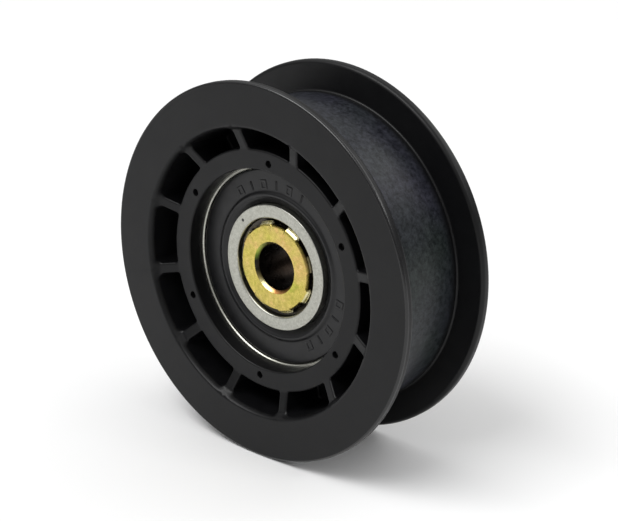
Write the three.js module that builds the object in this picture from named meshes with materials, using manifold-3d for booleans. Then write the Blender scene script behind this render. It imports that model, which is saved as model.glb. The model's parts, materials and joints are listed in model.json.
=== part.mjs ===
// Flat idler pulley for a belt tensioner, in millimetres, with +Z up.
//
// The wheel's axis is +Y, its front face looks along -Y, and the origin is the middle of the wheel.
// A moulded wheel carries a sealed ball bearing in its hub, and a staked bush fills the bearing's bore.
// Angles round the axis run clockwise from +Z as seen from the front.
import * as THREE from "three";
import { mergeVertices } from "three/addons/utils/BufferGeometryUtils.js";
import Module from "manifold-3d";

// Wheel
const FLANGE_RADIUS = 36.6;
const FLANGE_THICKNESS = 2;
const FLANGE_OUTER_ROUND = 0.5;
const FLANGE_INSIDE_ROUND = 0.8;
const WHEEL_WIDTH = 23.9;
const BELT_FACE_RADIUS = 30.65;
const BELT_FACE_CROWN = 0.3;
const BELT_FACE_FILLET = 0.6;

// Pockets and ribs between the hub and the belt face
const POCKET_OUTER_RADIUS = 27.75;
const POCKET_LIP_ROUND = 0.6;
const WEB_THICKNESS = 2.5;
const RIB_COUNT = 12;
const RIB_WIDTH = 2.1;
const RIB_PHASE = 18.3;
const RIB_DROP_AT_RIM = 1.4;
const RIB_DROP_AT_HUB = 0.25;
const RIB_ROOT = 0.6;

// Hub
const HUB_RADIUS = 23.6;
const HUB_DEPTH = 2.75;
const HUB_MOUTH_RADIUS = 19.7;
const HUB_ROUND = 0.4;
const DIMPLE_COUNT = 6;
const DIMPLE_PHASE = 3.6;
const DIMPLE_CIRCLE_RADIUS = 21.3;
const DIMPLE_RADIUS = 0.7;
const DIMPLE_DEPTH = 1.1;

// Ball bearing, 17 x 40 x 12, with its inner ring a little proud of the outer one
const BEARING_BORE_RADIUS = 8.5;
const BEARING_RADIUS = 20;
const BEARING_WIDTH = 12;
const INNER_RING_WIDTH = 12.8;
const BALL_COUNT = 8;
const BALL_RADIUS = 3.3735;
const PITCH_RADIUS = 14.25;
const INNER_LAND_RADIUS = 12.25;
const OUTER_LAND_RADIUS = 16.5;
const OUTER_RING_ROUND = 0.35;
const INNER_RING_ROUND = 0.25;
const RACE_CLEARANCE = 0.12;
const COUNTERBORE_RADIUS = 9.65;
const COUNTERBORE_CHAMFER = 0.35;
const COUNTERBORE_DEPTH = 1.4;
const COUNTERBORE_SLOPE = 0.35;
const SEAL_RECESS_RADIUS = 19.1;
const SEAL_RECESS_DEPTH = 1.5;
const SEAL_RECESS_MOUTH_RADIUS = 19.3;

// Seals: rubber moulded on the outside of a steel washer
const SEAL_RADIUS = 19;
const SEAL_DROP = 0.37;
const SEAL_CORE_INNER_RADIUS = 13.3;
const SEAL_CORE_RADIUS = 18.2;
const SEAL_CORE_THICKNESS = 0.4;
const SEAL_LIP_RADIUS = 12.4;
const SEAL_LIP_HEIGHT = 0.45;
const SEAL_RIDGE_RADIUS = 14.05;
const SEAL_RIDGE_HALF_WIDTH = 0.7;
const SEAL_RIDGE_HEIGHT = 0.35;
const SEAL_GROOVE_DEPTH = 0.2;

// Cage: two pressed strips with a cup for each ball, riveted together between the balls
const CAGE_INNER_RADIUS = 13.1;
const CAGE_OUTER_RADIUS = 15.4;
const CAGE_SHEET = 0.65;
const CAGE_POCKET_CLEARANCE = 0.3;
const CAGE_SPLIT_GAP = 0.1;
const RIVET_RADIUS = 0.5;
const RIVET_HOLE_RADIUS = 0.6;
const RIVET_HEAD_RADIUS = 0.9;
const RIVET_HEAD_HEIGHT = 0.4;
const RIVET_SHOULDER_RADIUS = 0.63;
const RIVET_SHOULDER_HEIGHT = 0.32;

// Bush: a sleeve with a collar at the back, staked over the inner ring in tabs at the front
const BOLT_HOLE_RADIUS = 4.5;
const BOLT_HOLE_CHAMFER = 0.6;
const BUSH_NOSE_RADIUS = 8.25;
const BUSH_NOSE_CHAMFER = 0.15;
const COLLAR_RADIUS = 10.8;
const COLLAR_THICKNESS = 1.5;
const COLLAR_CHAMFER = 0.3;
const TAB_COUNT = 8;
const TAB_PHASE = -15.5;
const TAB_SPAN = 21;
const TAB_TIP_RADIUS = 9.05;
const TAB_DROP = 0.9;
const TAB_THICKNESS = 0.45;

// Fits and fineness
const FIT_GAP = 0.05;
const TURNED_SEGMENTS = 36;
const RIVET_SEGMENTS = 8;
const TAB_GAP_SEGMENTS = 2;
const DIMPLE_SEGMENTS = 10;
const CAGE_SPHERE_COLUMNS = 12;
const CAGE_SPHERE_ROWS = 8;
const BALL_DETAIL = 2;
const ROUND_STEPS = 2;
const RACE_STEPS = 5;
const CROWN_STEPS = 2;
const RIDGE_STEPS = 4;
const CUT_MARGIN = 1;
const MERGE_DISTANCE = 1e-4;

const nylon = { color: 0x2b2b2d, roughness: 0.55, metalness: 0 };
const groundSteel = { color: 0xb9b8b2, roughness: 0.3, metalness: 1 };
const ballSteel = { color: 0xc9cacc, roughness: 0.08, metalness: 1 };
const pressedSteel = { color: 0xa3a29c, roughness: 0.38, metalness: 1 };
const sealRubber = { color: 0x242427, roughness: 0.7, metalness: 0 };
const yellowZinc = { color: 0xcdb45c, roughness: 0.3, metalness: 1 };

const wasm = await Module();
wasm.setup();

function radians(degrees) {
  return (degrees * Math.PI) / 180;
}

// Points of a circular arc in the (radius, y) plane, from one angle to the other.
function arc(centreRadius, centreY, radius, fromDegrees, toDegrees, steps) {
  return Array.from({ length: steps + 1 }, (_, i) => {
    const angle = radians(fromDegrees + ((toDegrees - fromDegrees) * i) / steps);
    return [centreRadius + radius * Math.cos(angle), centreY + radius * Math.sin(angle)];
  });
}

// A half outline from y = 0 upwards, completed by its mirror image below y = 0.
function bothSides(half) {
  const mirrored = half
    .filter(([, y]) => y > MERGE_DISTANCE)
    .map(([radius, y]) => [radius, -y])
    .reverse();
  return [...half, ...mirrored];
}

// The same outline on the front side, where y is negative.
function onFront(outline) {
  return outline.map(([radius, y]) => [radius, -y]);
}

// A solid of revolution about Y from a closed outline of [radius, y] points.
function turned(outline, segments = TURNED_SEGMENTS) {
  const points = outline.map(([radius, y]) => new THREE.Vector2(radius, y));
  if (THREE.ShapeUtils.area(points) < 0) points.reverse();
  points.push(points[0].clone());
  return new THREE.LatheGeometry(points, segments);
}

// A flat polygon of [radius, y] points given a width, standing out from the axis at an angle.
function radialPlate(outline, width, degrees) {
  const shape = new THREE.Shape(outline.map(([radius, y]) => new THREE.Vector2(radius, y)));
  return new THREE.ExtrudeGeometry(shape, { depth: width, bevelEnabled: false })
    .translate(0, 0, -width / 2)
    .rotateY(radians(degrees - 90));
}

// A prism along Y over a sector of a flat ring, centred on an angle.
function ringSector(innerRadius, outerRadius, spanDegrees, degrees, fromY, toY) {
  const half = radians(spanDegrees / 2);
  const shape = new THREE.Shape();
  shape.absarc(0, 0, innerRadius, -half, half, false);
  shape.absarc(0, 0, outerRadius, half, -half, true);
  const settings = { depth: toY - fromY, bevelEnabled: false, curveSegments: TAB_GAP_SEGMENTS };
  return new THREE.ExtrudeGeometry(shape, settings)
    .rotateX(-Math.PI / 2)
    .translate(0, fromY, 0)
    .rotateY(radians(degrees - 90));
}

// The place on a circle round the axis, at an angle clockwise from +Z seen from the front.
function onCircle(radius, degrees, y = 0) {
  return new THREE.Vector3(
    radius * Math.sin(radians(degrees)),
    y,
    radius * Math.cos(radians(degrees)),
  );
}

function toSolid(geometry) {
  const bare = geometry.clone();
  bare.deleteAttribute("normal");
  bare.deleteAttribute("uv");
  const merged = mergeVertices(bare, MERGE_DISTANCE);
  return new wasm.Manifold(
    new wasm.Mesh({
      numProp: 3,
      vertProperties: merged.attributes.position.array,
      triVerts: new Uint32Array(merged.index.array),
    }),
  );
}

function toGeometry(solid) {
  const mesh = solid.getMesh();
  const geometry = new THREE.BufferGeometry();
  geometry.setAttribute("position", new THREE.BufferAttribute(mesh.vertProperties, 3));
  geometry.setIndex(new THREE.BufferAttribute(mesh.triVerts, 1));
  return geometry;
}

function wheelOutline() {
  const face = WHEEL_WIDTH / 2;
  const hubFace = face - HUB_DEPTH;
  const flangeInside = face - FLANGE_THICKNESS;
  const seatRadius = BEARING_RADIUS + FIT_GAP;
  const seatEnd = BEARING_WIDTH / 2 + FIT_GAP;
  const crownHalf = flangeInside - BELT_FACE_FILLET;
  const beltFace = Array.from({ length: CROWN_STEPS }, (_, i) => {
    const fromMiddle = 1 - (i + 1) / CROWN_STEPS;
    return [BELT_FACE_RADIUS + BELT_FACE_CROWN * (1 - fromMiddle ** 2), crownHalf * fromMiddle];
  });
  return bothSides([
    [seatRadius, seatEnd],
    [HUB_MOUTH_RADIUS, seatEnd],
    ...arc(HUB_MOUTH_RADIUS + HUB_ROUND, hubFace - HUB_ROUND, HUB_ROUND, 180, 90, ROUND_STEPS),
    ...arc(HUB_RADIUS - HUB_ROUND, hubFace - HUB_ROUND, HUB_ROUND, 90, 0, ROUND_STEPS),
    [HUB_RADIUS, WEB_THICKNESS / 2],
    [POCKET_OUTER_RADIUS, WEB_THICKNESS / 2],
    ...arc(
      POCKET_OUTER_RADIUS + POCKET_LIP_ROUND,
      face - POCKET_LIP_ROUND,
      POCKET_LIP_ROUND,
      180,
      90,
      ROUND_STEPS,
    ),
    ...arc(
      FLANGE_RADIUS - FLANGE_OUTER_ROUND,
      face - FLANGE_OUTER_ROUND,
      FLANGE_OUTER_ROUND,
      90,
      0,
      ROUND_STEPS,
    ),
    ...arc(
      FLANGE_RADIUS - FLANGE_INSIDE_ROUND,
      flangeInside + FLANGE_INSIDE_ROUND,
      FLANGE_INSIDE_ROUND,
      0,
      -90,
      ROUND_STEPS,
    ),
    ...arc(
      BELT_FACE_RADIUS + BELT_FACE_FILLET,
      flangeInside - BELT_FACE_FILLET,
      BELT_FACE_FILLET,
      90,
      180,
      ROUND_STEPS,
    ),
    ...beltFace,
  ]);
}

function rib(degrees) {
  const face = WHEEL_WIDTH / 2;
  const atRim = face - RIB_DROP_AT_RIM;
  const atHub = face - HUB_DEPTH - RIB_DROP_AT_HUB;
  const slope = (atRim - atHub) / (POCKET_OUTER_RADIUS - HUB_RADIUS);
  const outline = bothSides([
    [HUB_RADIUS - RIB_ROOT, atHub - slope * RIB_ROOT],
    [POCKET_OUTER_RADIUS + RIB_ROOT, atRim + slope * RIB_ROOT],
  ]);
  return radialPlate(outline, RIB_WIDTH, degrees);
}

function pulleyBody() {
  let body = toSolid(turned(wheelOutline()));
  for (let i = 0; i < RIB_COUNT; i++) {
    body = body.add(toSolid(rib(RIB_PHASE + (i * 360) / RIB_COUNT)));
  }
  const hubFaceY = HUB_DEPTH - WHEEL_WIDTH / 2;
  for (let i = 0; i < DIMPLE_COUNT; i++) {
    const place = onCircle(DIMPLE_CIRCLE_RADIUS, DIMPLE_PHASE + (i * 360) / DIMPLE_COUNT, hubFaceY);
    const drill = new THREE.CylinderGeometry(
      DIMPLE_RADIUS,
      DIMPLE_RADIUS,
      2 * DIMPLE_DEPTH,
      DIMPLE_SEGMENTS,
    );
    body = body.subtract(toSolid(drill.translate(place.x, place.y, place.z)));
  }
  return toGeometry(body);
}

// Half of a raceway: from the land at its edge to the middle of the groove.
function raceway(landRadius) {
  const radius = BALL_RADIUS + RACE_CLEARANCE;
  const outwards = landRadius > PITCH_RADIUS;
  const edge = THREE.MathUtils.radToDeg(Math.acos(Math.abs(landRadius - PITCH_RADIUS) / radius));
  return outwards
    ? arc(PITCH_RADIUS, 0, radius, edge, 0, RACE_STEPS)
    : arc(PITCH_RADIUS, 0, radius, 180 - edge, 180, RACE_STEPS);
}

function outerRing() {
  const end = BEARING_WIDTH / 2;
  const recessFloor = end - SEAL_RECESS_DEPTH;
  const mouthSlope = SEAL_RECESS_MOUTH_RADIUS - SEAL_RECESS_RADIUS;
  return turned(
    bothSides([
      [BEARING_RADIUS, end - OUTER_RING_ROUND],
      [BEARING_RADIUS - OUTER_RING_ROUND, end],
      [SEAL_RECESS_MOUTH_RADIUS, end],
      [SEAL_RECESS_RADIUS, end - mouthSlope],
      [SEAL_RECESS_RADIUS, recessFloor],
      [OUTER_LAND_RADIUS, recessFloor],
      ...raceway(OUTER_LAND_RADIUS),
    ]),
  );
}

function innerRing() {
  const end = INNER_RING_WIDTH / 2;
  return turned(
    bothSides([
      [BEARING_BORE_RADIUS, end - COUNTERBORE_DEPTH - COUNTERBORE_SLOPE],
      [COUNTERBORE_RADIUS, end - COUNTERBORE_DEPTH],
      [COUNTERBORE_RADIUS, end - COUNTERBORE_CHAMFER],
      [COUNTERBORE_RADIUS + COUNTERBORE_CHAMFER, end],
      [INNER_LAND_RADIUS - INNER_RING_ROUND, end],
      [INNER_LAND_RADIUS, end - INNER_RING_ROUND],
      ...raceway(INNER_LAND_RADIUS),
    ]),
  );
}

// The rubber of the back seal, wrapped round the outside of its steel washer.
function sealOutline() {
  const face = BEARING_WIDTH / 2 - SEAL_DROP;
  const bottom = BEARING_WIDTH / 2 - SEAL_RECESS_DEPTH + FIT_GAP;
  const coreTop = bottom + SEAL_CORE_THICKNESS + FIT_GAP;
  const coreInside = SEAL_CORE_INNER_RADIUS - FIT_GAP;
  const coreOutside = SEAL_CORE_RADIUS + FIT_GAP;
  const ridge = Array.from({ length: RIDGE_STEPS + 1 }, (_, i) => {
    const across = 1 - (2 * i) / RIDGE_STEPS;
    return [
      SEAL_RIDGE_RADIUS + SEAL_RIDGE_HALF_WIDTH * across,
      face + SEAL_RIDGE_HEIGHT * (1 - across ** 2),
    ];
  });
  return [
    [SEAL_LIP_RADIUS, bottom + SEAL_LIP_HEIGHT],
    [SEAL_LIP_RADIUS + SEAL_GROOVE_DEPTH, bottom],
    [coreInside, bottom],
    [coreInside, coreTop],
    [coreOutside, coreTop],
    [coreOutside, bottom],
    [SEAL_RADIUS, bottom],
    [SEAL_RADIUS, face - SEAL_GROOVE_DEPTH],
    [SEAL_RADIUS - SEAL_GROOVE_DEPTH, face],
    ...ridge,
    [SEAL_LIP_RADIUS, face - SEAL_GROOVE_DEPTH],
  ];
}

// The back seal's steel washer.
function sealCoreOutline() {
  const bottom = BEARING_WIDTH / 2 - SEAL_RECESS_DEPTH + FIT_GAP;
  return [
    [SEAL_CORE_INNER_RADIUS, bottom],
    [SEAL_CORE_RADIUS, bottom],
    [SEAL_CORE_RADIUS, bottom + SEAL_CORE_THICKNESS],
    [SEAL_CORE_INNER_RADIUS, bottom + SEAL_CORE_THICKNESS],
  ];
}

function ballAngle(index) {
  return (index * 360) / BALL_COUNT;
}

function rivetAngle(index) {
  return ballAngle(index + 0.5);
}

// One pressed half of the cage; side is -1 for the front half and 1 for the back half.
function cageHalf(side) {
  const innerY = CAGE_SPLIT_GAP / 2;
  const landTop = innerY + CAGE_SHEET;
  const pocketRadius = BALL_RADIUS + CAGE_POCKET_CLEARANCE;
  const cupRadius = pocketRadius + CAGE_SHEET;
  const strip = (topY) => {
    const outline = [
      [CAGE_INNER_RADIUS, side * innerY],
      [CAGE_OUTER_RADIUS, side * innerY],
      [CAGE_OUTER_RADIUS, side * topY],
      [CAGE_INNER_RADIUS, side * topY],
    ];
    return toSolid(turned(outline));
  };
  const sphereAt = (radius, index) => {
    const place = onCircle(PITCH_RADIUS, ballAngle(index));
    const sphere = new THREE.SphereGeometry(radius, CAGE_SPHERE_COLUMNS, CAGE_SPHERE_ROWS);
    return toSolid(sphere.translate(place.x, place.y, place.z));
  };
  const cupSpace = strip(cupRadius + CUT_MARGIN);
  let half = strip(landTop);
  for (let i = 0; i < BALL_COUNT; i++) {
    half = half.add(sphereAt(cupRadius, i).intersect(cupSpace));
  }
  for (let i = 0; i < BALL_COUNT; i++) {
    const place = onCircle(PITCH_RADIUS, rivetAngle(i));
    const punch = new THREE.CylinderGeometry(
      RIVET_HOLE_RADIUS,
      RIVET_HOLE_RADIUS,
      2 * (landTop + CUT_MARGIN),
      RIVET_SEGMENTS,
    );
    half = half.subtract(sphereAt(pocketRadius, i));
    half = half.subtract(toSolid(punch.translate(place.x, place.y, place.z)));
  }
  return toGeometry(half);
}

function rivet() {
  const underHead = CAGE_SPLIT_GAP / 2 + CAGE_SHEET + FIT_GAP;
  return turned(
    [
      [0, -underHead - RIVET_HEAD_HEIGHT],
      [RIVET_SHOULDER_RADIUS, -underHead - RIVET_SHOULDER_HEIGHT],
      [RIVET_HEAD_RADIUS, -underHead],
      [RIVET_RADIUS, -underHead],
      [RIVET_RADIUS, underHead],
      [RIVET_HEAD_RADIUS, underHead],
      [RIVET_SHOULDER_RADIUS, underHead + RIVET_SHOULDER_HEIGHT],
      [0, underHead + RIVET_HEAD_HEIGHT],
    ],
    RIVET_SEGMENTS,
  );
}

// The bush before its tabs are parted: the tabs start as one ring round the nose.
function bushOutline() {
  const frontY = -INNER_RING_WIDTH / 2;
  const sleeveRadius = BEARING_BORE_RADIUS - FIT_GAP;
  const collarFromY = INNER_RING_WIDTH / 2 + FIT_GAP;
  const backY = collarFromY + COLLAR_THICKNESS;
  const mouthRadius = BOLT_HOLE_RADIUS + BOLT_HOLE_CHAMFER;
  const tabTopY = frontY + TAB_DROP;
  return [
    [BOLT_HOLE_RADIUS, frontY + BOLT_HOLE_CHAMFER],
    [mouthRadius, frontY],
    [BUSH_NOSE_RADIUS - BUSH_NOSE_CHAMFER, frontY],
    [BUSH_NOSE_RADIUS, frontY + BUSH_NOSE_CHAMFER],
    [BUSH_NOSE_RADIUS, tabTopY - BUSH_NOSE_CHAMFER],
    [TAB_TIP_RADIUS, tabTopY],
    [TAB_TIP_RADIUS, tabTopY + TAB_THICKNESS / 2],
    [sleeveRadius, tabTopY + TAB_THICKNESS],
    [sleeveRadius, collarFromY],
    [COLLAR_RADIUS, collarFromY],
    [COLLAR_RADIUS, backY - COLLAR_CHAMFER],
    [COLLAR_RADIUS - COLLAR_CHAMFER, backY],
    [mouthRadius, backY],
    [BOLT_HOLE_RADIUS, backY - BOLT_HOLE_CHAMFER],
  ];
}

function bush() {
  const frontY = -INNER_RING_WIDTH / 2;
  const pitch = 360 / TAB_COUNT;
  const cutToY = frontY + TAB_DROP + TAB_THICKNESS;
  let body = toSolid(turned(bushOutline()));
  for (let i = 0; i < TAB_COUNT; i++) {
    const gapAngle = TAB_PHASE + (i + 0.5) * pitch;
    const gap = ringSector(
      BEARING_BORE_RADIUS,
      TAB_TIP_RADIUS + CUT_MARGIN,
      pitch - TAB_SPAN,
      gapAngle,
      frontY - CUT_MARGIN,
      cutToY,
    );
    body = body.subtract(toSolid(gap));
  }
  return toGeometry(body);
}

const pulley = new THREE.Group();

function place(name, geometry, finish, position) {
  const mesh = new THREE.Mesh(geometry, new THREE.MeshStandardMaterial(finish));
  mesh.name = name;
  if (position) mesh.position.copy(position);
  pulley.add(mesh);
}

place("pulley_body", pulleyBody(), nylon);
place("bearing_outer_ring", outerRing(), groundSteel);
place("bearing_inner_ring", innerRing(), groundSteel);
place("seal_front", turned(onFront(sealOutline())), sealRubber);
place("seal_back", turned(sealOutline()), sealRubber);
place("seal_core_front", turned(onFront(sealCoreOutline())), pressedSteel);
place("seal_core_back", turned(sealCoreOutline()), pressedSteel);
place("cage_front", cageHalf(-1), pressedSteel);
place("cage_back", cageHalf(1), pressedSteel);
for (let i = 0; i < BALL_COUNT; i++) {
  const ball = new THREE.IcosahedronGeometry(BALL_RADIUS, BALL_DETAIL);
  place(`ball_${i + 1}`, ball, ballSteel, onCircle(PITCH_RADIUS, ballAngle(i)));
  place(`cage_rivet_${i + 1}`, rivet(), pressedSteel, onCircle(PITCH_RADIUS, rivetAngle(i)));
}
place("bush", bush(), yellowZinc);

export default pulley;
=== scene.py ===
"""Looks of a flat idler pulley: its moulded wheel, ball bearing, seals and staked bush.

Outlines are in millimetres, in the CAD frame: the wheel's axis is Y, and its front looks along -Y.
Angles round the axis run clockwise from +Z as seen from the front.
"""
import json
import math
import random

import bmesh
import bpy
import numpy as np
from mathutils import Matrix, Vector


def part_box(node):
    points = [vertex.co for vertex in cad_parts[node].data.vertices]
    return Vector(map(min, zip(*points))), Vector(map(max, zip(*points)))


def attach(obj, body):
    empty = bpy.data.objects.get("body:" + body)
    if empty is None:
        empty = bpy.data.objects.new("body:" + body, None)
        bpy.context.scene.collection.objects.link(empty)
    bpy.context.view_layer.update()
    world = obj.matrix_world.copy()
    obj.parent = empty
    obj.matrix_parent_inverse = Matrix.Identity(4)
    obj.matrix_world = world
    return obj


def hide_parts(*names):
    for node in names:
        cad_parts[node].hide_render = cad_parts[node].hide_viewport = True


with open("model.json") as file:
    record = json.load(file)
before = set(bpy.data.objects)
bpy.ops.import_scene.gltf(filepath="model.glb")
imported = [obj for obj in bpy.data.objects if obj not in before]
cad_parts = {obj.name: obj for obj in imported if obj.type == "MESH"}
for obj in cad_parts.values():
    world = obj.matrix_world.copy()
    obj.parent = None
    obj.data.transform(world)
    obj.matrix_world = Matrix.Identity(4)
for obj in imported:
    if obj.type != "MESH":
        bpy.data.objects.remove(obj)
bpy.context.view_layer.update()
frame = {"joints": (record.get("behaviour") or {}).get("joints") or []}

MM = 0.001
SEED = 7

# ---------------------------------------------------------------- view

VIEW_AZIMUTH = 41.93
VIEW_ELEVATION = 19.97
VIEW_DISTANCE = 348.03
VIEW_AIM = (1.74, 1.47, -0.18)
LENS = 106.59
HORIZON_LIGHT = 0.22
ZENITH_LIGHT = 0.9

# ---------------------------------------------------------------- sizes from the frame


def node_box(name):
    """Lowest and highest corner of a CAD node, in millimetres."""
    low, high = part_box(name)
    return [v / MM for v in low], [v / MM for v in high]


def node_radius(name):
    return node_box(name)[1][2]


def node_ends(name):
    """A node's extent along the wheel's axis, in millimetres."""
    low, high = node_box(name)
    return low[1], high[1]


WHEEL_RADIUS = node_radius("pulley_body")
WHEEL_FACE = node_ends("pulley_body")[1]
RING_RADIUS = node_radius("bearing_outer_ring")
RING_FACE = node_ends("bearing_outer_ring")[1]
INNER_RING_RADIUS = node_radius("bearing_inner_ring")
INNER_RING_FACE = node_ends("bearing_inner_ring")[1]
SEAL_RADIUS = node_radius("seal_back")
SEAL_BOTTOM = node_ends("seal_back")[0]
CORE_RADIUS = node_radius("seal_core_back")
CORE_BOTTOM, CORE_TOP = node_ends("seal_core_back")
COLLAR_RADIUS = node_radius("bush")
BUSH_FRONT, BUSH_BACK = node_ends("bush")
BALL_JOINTS = {j["child"]: j for j in frame["joints"] if j["child"].startswith("ball_")}
BALL_COUNT = len(BALL_JOINTS)
PITCH_RADIUS = math.hypot(BALL_JOINTS["ball_1"]["pos_m"][0], BALL_JOINTS["ball_1"]["pos_m"][2]) / MM
BALL_RADIUS = 3.3735

# ---------------------------------------------------------------- detail sizes, in millimetres

# Wheel
FLANGE_THICKNESS = 2.0
FLANGE_OUTER_ROUND = 0.5
FLANGE_INSIDE_ROUND = 0.8
BELT_FACE_RADIUS = 30.65
BELT_FACE_CROWN = 0.3
BELT_FACE_FILLET = 0.45
HUB_DEPTH = 2.75
HUB_MOUTH_RADIUS = 19.7
HUB_MOUTH_ROUND = 0.35
LAND_START_RADIUS = 22.8
LAND_END_RADIUS = 28.7
POCKET_INNER_RADIUS = 23.6
POCKET_OUTER_RADIUS = 27.75
POCKET_INNER_CORNER = 0.45
POCKET_OUTER_CORNER = 1.0
POCKET_DRAFT = 0.15
POCKET_FLOOR_FILLET = 0.6
WEB_HALF = 1.25
RIB_COUNT = 12
RIB_PHASE = 18.3
RIB_HALF_WIDTH = 1.05
RIB_RISE_START = 23.5
RIB_DROP_AT_RIM = 1.45
LIP_START_RADIUS = 27.25
LIP_END_RADIUS = 28.45
EDGE_ROUND = 0.42
DIMPLE_COUNT = 6
DIMPLE_PHASE = 3.6
DIMPLE_CIRCLE = 21.3
DIMPLE_RADIUS = 0.68
DIMPLE_DEPTH = 1.1
DIMPLE_LIP = 0.1
DIMPLE_FLOOR_ROUND = 0.25
PUNCH_ABOVE = 0.5
PUNCH_SKIN = 0.001
SEAT_ROUND = 0.05

# Bearing
FIT = 0.02
RACE_CLEARANCE = 0.02
OUTER_LAND_RADIUS = 16.5
RING_ROUND = 0.35
RING_EDGE_ROUND = 0.1
RECESS_STEP = 0.6
SHELL_END = 0.5
RECESS_RADIUS = 19.1
RECESS_DEPTH = 1.5
RECESS_MOUTH_RADIUS = 19.3
BEARING_BORE = 8.5
COUNTERBORE_RADIUS = 9.65
COUNTERBORE_ROUND = 0.4
COUNTERBORE_DEPTH = 1.4
COUNTERBORE_SLOPE = 0.35
INNER_RING_ROUND = 0.2
COUNTERBORE_FLOOR_ROUND = 0.3
INNER_LAND_END = 4.2
PIT_PLACE = (11.1, -46)
SEAL_DROP = 0.37
SEAL_LIP_RADIUS = 12.36
SEAL_RIDGE_RADIUS = 14.05
SEAL_RIDGE_HALF_WIDTH = 0.75
SEAL_RIDGE_HEIGHT = 0.35
MARK_RADIUS = 15.95
MARK_HEIGHT = 0.12
MARK_SPACING = 11.5
MARK_GROUPS = [(-6, 6), (126, 5)]
MARK_HALF_LENGTH = 0.95
BAR_HALF_WIDTH = 0.25
FRAME_HALF_WIDTH = 0.8
FRAME_STROKE = 0.42
MARK_ROUND = 0.2
MARK_SUNK = 0.2
MARK_BEVEL = 0.1
CORE_INNER_RADIUS = 13.3
CORE_GAP = 0.03

# Cage
CAGE_SHEET = 0.6
CAGE_INNER = 13.1
CAGE_OUTER = 15.4
CAGE_SPLIT = 0.06
CAGE_POCKET_CLEARANCE = 0.25
CAGE_BLEND = 0.35
CAGE_MOST_STRETCH = 2.2
RIVET_SHANK_RADIUS = 0.5
RIVET_HEAD_RADIUS = 0.95
RIVET_HEAD_HEIGHT = 0.42
RIVET_HEAD_DROP = 0.25
RIVET_SHANK_END = 0.3

# Bush
BOLT_HOLE = 4.5
BOLT_HOLE_CHAMFER = 0.6
NOSE_RADIUS = 8.25
TAB_COUNT = 8
TAB_PHASE = -15.7
TAB_SPAN = 21.0
TAB_TIP_RADIUS = 9.02
TAB_DROP = 0.78
TAB_THICKNESS = 0.4
TAB_ROUND = 0.12
TAB_SHOULDER = (0.25, 0.12)
TAB_WANDER = 0.8
TAB_SPAN_SPREAD = 1.5
TAB_REACH_SPREAD = (-0.08, 0.04)
GAP_SHOULDER = (0.0, 0.15)
GAP_DEPTH = 0.02
GAP_ROUND = 0.01
NOSE_ROUND = 0.1
TAB_SIDE_SPAN = 2.2
TAB_SHORT = 2
TAB_SHORT_REACH = 0.2
SLEEVE_GAP = 0.03
BOLT_HOLE_ROUND = 0.12
BUSH_EDGE_ROUND = 0.1
COLLAR_ROUND = 0.3

# Fineness
COLUMNS = 288
BUSH_COLUMNS = 480
WASHER_COLUMNS = 144
SMALL_COLUMNS = 32
ARC_DEGREES = 12
RACE_STEPS = 12
CROWN_STEPS = 9
RIDGE_STEPS = 17
TAB_CORNER_STEPS = 3
BALL_SUBDIVISIONS = 5
CAGE_COLUMNS_PER_BALL = 48
CAGE_ROWS = 9
HUB_SPLITS = 8
HUB_CORNER_SPLITS = 4
SIDE_SPLITS = 4
RIM_CORNER_SPLITS = 6
RIM_SPLITS = 6
LAND_STEPS = (1, 0.45, 0.2, 0.1, 0.05, 0.02, 0)
WELD = 1e-3


# ---------------------------------------------------------------- outlines


def rounded(corners, closed=True):
    """Points of an outline whose corners, given as (radius, y, fillet), are rounded by arcs."""
    points = []
    count = len(corners)
    for i, (x, y, fillet) in enumerate(corners):
        here = Vector((x, y))
        at_end = not closed and i in (0, count - 1)
        if fillet == 0 or at_end:
            points.append((x, y))
            continue
        before = Vector(corners[i - 1][:2]) - here
        after = Vector(corners[(i + 1) % count][:2]) - here
        u, v = before.normalized(), after.normalized()
        opening = u.angle(v)
        centre = here + (u + v).normalized() * (fillet / math.sin(opening / 2))
        start = here + u * (fillet / math.tan(opening / 2)) - centre
        bend = v - u
        turn = math.copysign(math.pi - opening, start.x * bend.y - start.y * bend.x)
        steps = max(2, math.ceil(abs(math.degrees(turn)) / ARC_DEGREES))
        for k in range(steps + 1):
            a = turn * k / steps
            points.append((
                centre.x + start.x * math.cos(a) - start.y * math.sin(a),
                centre.y + start.x * math.sin(a) + start.y * math.cos(a),
            ))
    return points


def arc(centre_x, centre_y, radius, start, end, steps):
    """Points of a circular arc, with its angles in degrees."""
    angles = np.radians(np.linspace(start, end, steps + 1))
    return [(centre_x + radius * math.cos(a), centre_y + radius * math.sin(a)) for a in angles]


def to_front(outline):
    return [(r, -y) for r, y in outline]


def both_ends(half):
    """A half outline from y = 0 upwards, completed by its mirror image."""
    return half + to_front(half)[::-1]


# ---------------------------------------------------------------- mesh helpers


def swept(outline, columns):
    """Grid of points: the outline turned about Y, one row for each outline point."""
    angles = np.linspace(0, 2 * math.pi, columns, endpoint=False)
    r = np.array([p[0] for p in outline])[:, None]
    y = np.array([p[1] for p in outline])[:, None]
    return np.stack([r * np.sin(angles), np.repeat(y, columns, 1), r * np.cos(angles)], -1)


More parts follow.
